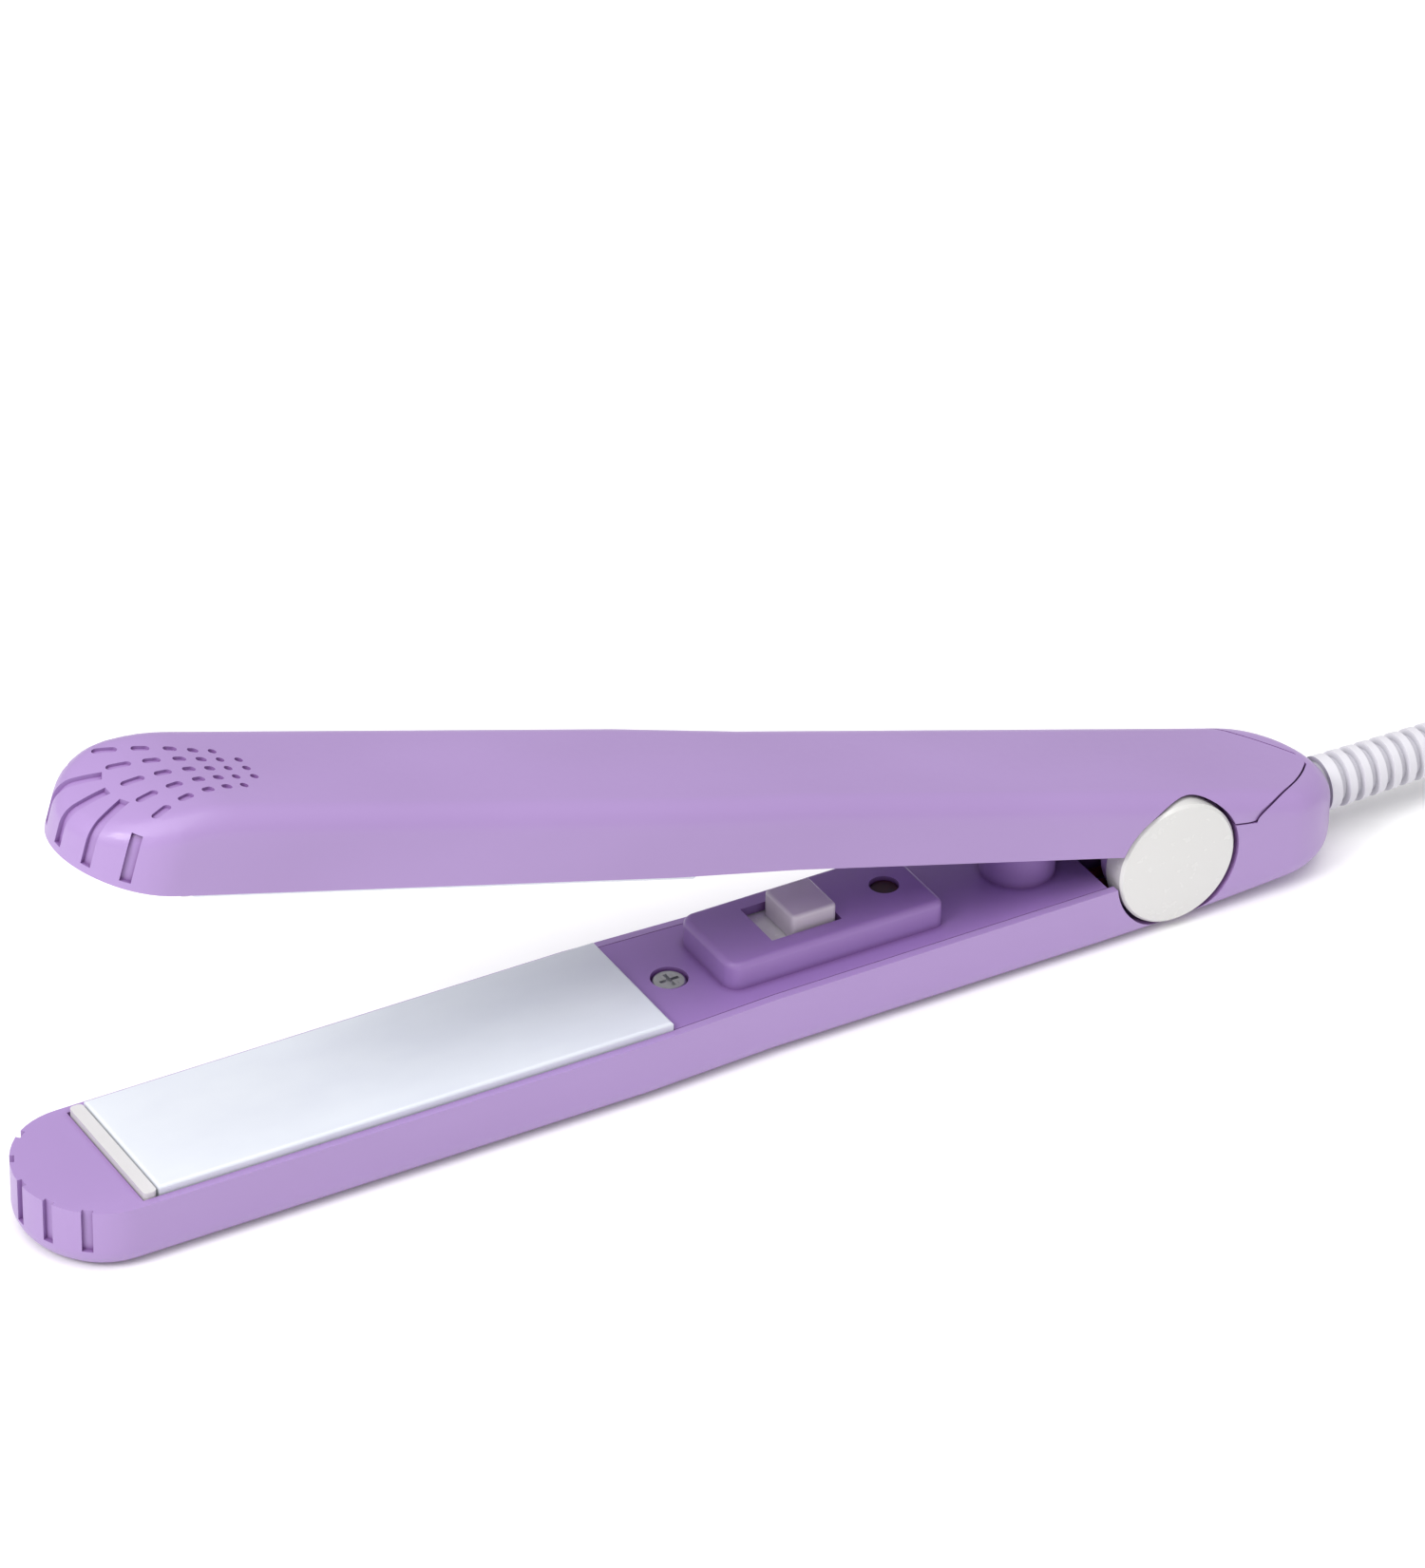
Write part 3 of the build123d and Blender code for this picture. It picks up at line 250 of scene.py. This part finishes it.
def vary_roughness(tree, shader, factor, low, high):
    """Roughness that runs between two values with a factor."""
    spread = tree.nodes.new("ShaderNodeMapRange")
    spread.inputs["To Min"].default_value = low
    spread.inputs["To Max"].default_value = high
    tree.links.new(factor, spread.inputs["Value"])
    tree.links.new(spread.outputs["Result"], shader.inputs["Roughness"])


def paint_crease_shade(tree, shader, shade_tint, reach):
    """Painted shade: multiply the base colour by a dark tint where a groove, seam or corner is
    narrower than a reach, as occlusion would shade it.
    """
    source = shader.inputs["Base Color"].links[0].from_socket
    crease_shade = tree.nodes.new("ShaderNodeAmbientOcclusion")
    crease_shade.inputs["Distance"].default_value = reach
    crease_shade.samples = 8
    depth = tree.nodes.new("ShaderNodeMapRange")
    depth.inputs["From Min"].default_value = 0.35
    depth.inputs["From Max"].default_value = 0.95
    tree.links.new(crease_shade.outputs["AO"], depth.inputs["Value"])
    mix = tree.nodes.new("ShaderNodeMix")
    mix.data_type = "RGBA"
    mix.blend_type = "MULTIPLY"
    mix.inputs["Factor"].default_value = 1.0
    ramp = tree.nodes.new("ShaderNodeValToRGB")
    ramp.color_ramp.elements[0].color = shade_tint
    ramp.color_ramp.elements[1].color = (1.0, 1.0, 1.0, 1.0)
    tree.links.new(depth.outputs["Result"], ramp.inputs["Fac"])
    tree.links.new(source, mix.inputs["A"])
    tree.links.new(ramp.outputs["Color"], mix.inputs["B"])
    tree.links.new(mix.outputs["Result"], shader.inputs["Base Color"])


def add_bump(tree, shader, factor, height, strength=1.0):
    """Fine relief on the surface, its height in metres."""
    bump = tree.nodes.new("ShaderNodeBump")
    bump.inputs["Distance"].default_value = height
    bump.inputs["Strength"].default_value = strength
    tree.links.new(factor, bump.inputs["Height"])
    tree.links.new(bump.outputs["Normal"], shader.inputs["Normal"])


# ---------------------------------------------------------------- materials
def moulded(name, colour, roughness, coat, spread=0.03, grain=900.0, relief=0.000006, crease_shade=None):
    """Moulded plastic with faint flow in its colour, a fine orange-peel surface and painted shade in
    its creases.
    """
    material, tree, shader, place = new_material(name, roughness, coat=coat, coat_roughness=0.12)
    flow = add_noise(tree, place, 45.0, detail=2.0, stretch=(0.4, 1.0, 1.0))
    vary_colour(tree, shader, flow, shade(colour, 1 - spread), shade(colour, 1 + spread))
    peel = add_noise(tree, place, grain)
    vary_roughness(tree, shader, peel, roughness - 0.04, roughness + 0.06)
    add_bump(tree, shader, peel, relief)
    # painted shade darkens the grooves, seams and corners
    if crease_shade:
        paint_crease_shade(tree, shader, crease_shade, CREASE_SHADE_REACH)
    return material


def plate_material():
    """Pearly ceramic coat on a flat plate, with cloudy shimmer and a faint lengthwise grind."""
    material, tree, shader, place = new_material("ceramic_plate", 0.3, coat=0.6, coat_roughness=0.1)
    pearl = add_noise(tree, place, 60.0, detail=4.0, stretch=(0.5, 1.0, 1.0))
    vary_colour(tree, shader, pearl, srgb(221, 225, 234), srgb(231, 235, 241))
    grind = add_noise(tree, place, 1500.0, detail=2.0, stretch=(0.05, 1.0, 1.0))
    vary_roughness(tree, shader, grind, 0.26, 0.34)
    add_bump(tree, shader, grind, 0.000001)
    return material


def metal(name, colour, roughness, scale=2200.0):
    """Plated metal with fine scratches."""
    material, tree, shader, place = new_material(name, roughness, metallic=1.0)
    scratch = add_noise(tree, place, scale, stretch=(1.0, 0.2, 1.0))
    vary_colour(tree, shader, scratch, shade(colour, 0.9), shade(colour, 1.05))
    vary_roughness(tree, shader, scratch, roughness - 0.05, roughness + 0.12)
    add_bump(tree, shader, scratch, 0.000004)
    return material


def lens_material():
    """Dark red translucent lens."""
    material, tree, shader, place = new_material("lamp_lens", 0.5)
    cloud = add_noise(tree, place, 700.0)
    vary_colour(tree, shader, cloud, srgb(38, 5, 12), srgb(66, 10, 18))
    add_bump(tree, shader, cloud, 0.000004)
    return material


def strap_material():
    """Black woven hook and loop strap."""
    material, tree, shader, place = new_material("strap_weave", 0.9)
    weave = add_noise(tree, place, 3200.0, detail=4.0)
    vary_colour(tree, shader, weave, srgb(16, 16, 18), srgb(44, 44, 48))
    add_bump(tree, shader, weave, 0.00012)
    return material


LILAC = srgb(168, 139, 194)
# Cover lilac: the casing lilac darkened and made more purple, as painted shade under the upper arm and
# painted purple bounce light
SHADED_LILAC = srgb(154, 121, 184)
# Tints and reach of the painted shade in grooves, seams and corners
LILAC_CREASE_SHADE = (0.6, 0.44, 0.6, 1.0)
GREY_CREASE_SHADE = (0.55, 0.55, 0.58, 1.0)
CREASE_SHADE_REACH = 0.0011


def make_materials():
    """One material for each kind of surface, by name."""
    return {
        "casing": moulded("lilac_casing", LILAC, 0.42, 0.2, crease_shade=LILAC_CREASE_SHADE),
        # cover in the darker, more purple lilac of painted shade and painted bounce light
        "cover": moulded("lilac_cover", SHADED_LILAC, 0.45, 0.08, grain=1400.0, relief=0.00001,
                         crease_shade=LILAC_CREASE_SHADE),
        "plate": plate_material(),
        "strip": moulded("white_strip", srgb(216, 214, 214), 0.5, 0.0),
        "holder": moulded("dark_holder", srgb(58, 54, 60), 0.6, 0.0),
        "ceramic": moulded("ceramic_heater", srgb(226, 222, 212), 0.7, 0.0),
        "cap": moulded("white_cap", srgb(220, 219, 217), 0.25, 0.5, spread=0.01, relief=0.0000008),
        "knob": moulded("grey_knob", srgb(206, 196, 208), 0.4, 0.15),
        "sheath": moulded("white_sheath", srgb(218, 216, 223), 0.48, 0.0, spread=0.015, grain=2600.0,
                          crease_shade=GREY_CREASE_SHADE),
        "board": moulded("green_board", srgb(30, 96, 52), 0.45, 0.3),
        "wire": moulded("red_wire", srgb(110, 26, 30), 0.5, 0.0),
        "steel": metal("plated_steel", srgb(196, 196, 200), 0.28),
        "spring": metal("spring_steel", srgb(178, 178, 184), 0.3),
        "brass": metal("nickel_pin", srgb(214, 208, 196), 0.22),
        "lens": lens_material(),
        "strap": strap_material(),
    }


SURFACES = {
    "casing": ("lower_shell", "upper_shell"),
    "cover": ("lower_deck", "upper_cover"),
    "plate": ("lower_plate", "upper_plate"),
    "strip": ("lower_end_strip", "upper_end_strip"),
    "holder": ("lower_plate_holder", "upper_plate_holder"),
    "ceramic": ("lower_heater", "upper_heater"),
    "cap": ("near_hinge_cap", "far_hinge_cap", "switch_body"),
    "knob": ("switch_knob", "cord_clamp"),
    "sheath": ("strain_relief", "cord_sheath_end", "plug_body"),
    "board": ("circuit_board",),
    "wire": ("supply_leads", "lower_heater_leads", "upper_heater_leads"),
    "steel": ("hinge_pin", "lower_cover_screw", "upper_cover_screw", "clamp_screws"),
    "spring": ("opening_spring", "lower_heater_clamp", "upper_heater_clamp"),
    "brass": ("plug_pins",),
    "lens": ("indicator_lens", "indicator_lamp"),
    "strap": ("hank_tie",),
}

# Rounding of the moulded edges, in millimetres
EDGE_ROUNDING = {
    "lower_shell": 0.35, "upper_shell": 0.35, "lower_deck": 0.2, "upper_cover": 0.15,
    "lower_end_strip": 0.2, "upper_end_strip": 0.2, "near_hinge_cap": 0.15, "far_hinge_cap": 0.15,
    "switch_knob": 0.15, "strain_relief": 0.18, "plug_body": 0.3, "hank_tie": 0.2,
    "lower_plate_holder": 0.15, "upper_plate_holder": 0.15, "indicator_lens": 0.12,
}
EDGE_ANGLE = radians(32)


def round_edges(node, width):
    """Soften a CAD node's sharp edges with modifiers, leaving its mesh as it is."""
    mesh = node.data
    if "custom_normal" in mesh.attributes:
        mesh.attributes.remove(mesh.attributes["custom_normal"])
    mesh.polygons.foreach_set("use_smooth", [True] * len(mesh.polygons))
    weld = node.modifiers.new("weld", "WELD")
    weld.merge_threshold = 0.000002
    bevel = node.modifiers.new("edges", "BEVEL")
    bevel.width = width * MM
    bevel.segments = 3
    bevel.limit_method = "ANGLE"
    bevel.angle_limit = EDGE_ANGLE
    bevel.use_clamp_overlap = True
    bevel.harden_normals = True


def dress_nodes(materials):
    """Give every CAD node its material and its rounded edges."""
    for surface, names in SURFACES.items():
        for name in names:
            node = NODES[name]
            node.data.materials.clear()
            node.data.materials.append(materials[surface])
    for name, width in EDGE_ROUNDING.items():
        round_edges(NODES[name], width)


# ---------------------------------------------------------------- floor and light
FLOOR_HALF = 4.0
FLOOR_GLOW = 0.1              # keeps the floor white behind the arms
ROOM_STRENGTH = 0.42
KEY_LIGHT = ((-0.1, -0.3, 1.45), 1.8, 19.0)     # place, size and power
NOSE_LIGHT = ((-1.0, -0.2, 0.9), 0.5, 9.0)


def make_floor():
    """Plain white floor, well beyond the view."""
    mesh = bpy.data.meshes.new("floor")
    corners = [(x * FLOOR_HALF, y * FLOOR_HALF, 0.0) for x, y in ((-1, -1), (1, -1), (1, 1), (-1, 1))]
    mesh.from_pydata(corners, [], [(0, 1, 2, 3)])
    floor = bpy.data.objects.new("floor", mesh)
    bpy.context.scene.collection.objects.link(floor)
    material, tree, shader, place = new_material("white_floor", 0.9)
    speck = add_noise(tree, place, 30.0)
    vary_colour(tree, shader, speck, (0.9, 0.9, 0.9, 1.0), (0.92, 0.92, 0.92, 1.0))
    shader.inputs["Emission Color"].default_value = (1.0, 1.0, 1.0, 1.0)
    shader.inputs["Emission Strength"].default_value = FLOOR_GLOW
    floor.data.materials.append(material)


def area_light(name, place, size, energy):
    """Soft square light aimed at the iron."""
    data = bpy.data.lights.new(name, "AREA")
    data.shape = "SQUARE"
    data.size = size
    data.energy = energy
    light = bpy.data.objects.new(name, data)
    bpy.context.scene.collection.objects.link(light)
    light.location = place
    light.rotation_euler = (-Vector(place)).to_track_quat("-Z", "Y").to_euler()


def make_light():
    """White surroundings, a large soft light above and a weaker one off the noses."""
    world = bpy.data.worlds.new("white_room")
    world.use_nodes = True
    background = world.node_tree.nodes["Background"]
    background.inputs["Color"].default_value = (1.0, 1.0, 1.0, 1.0)
    background.inputs["Strength"].default_value = ROOM_STRENGTH
    bpy.context.scene.world = world
    area_light("key", *KEY_LIGHT)
    area_light("nose", *NOSE_LIGHT)
    bpy.context.scene.view_settings.view_transform = "Standard"


make_camera()
cord = make_cord()
surface_materials = make_materials()
dress_nodes(surface_materials)
cord.data.materials.append(surface_materials["sheath"])
make_spring(surface_materials["spring"])
make_floor()
make_light()

bpy.context.view_layer.update()
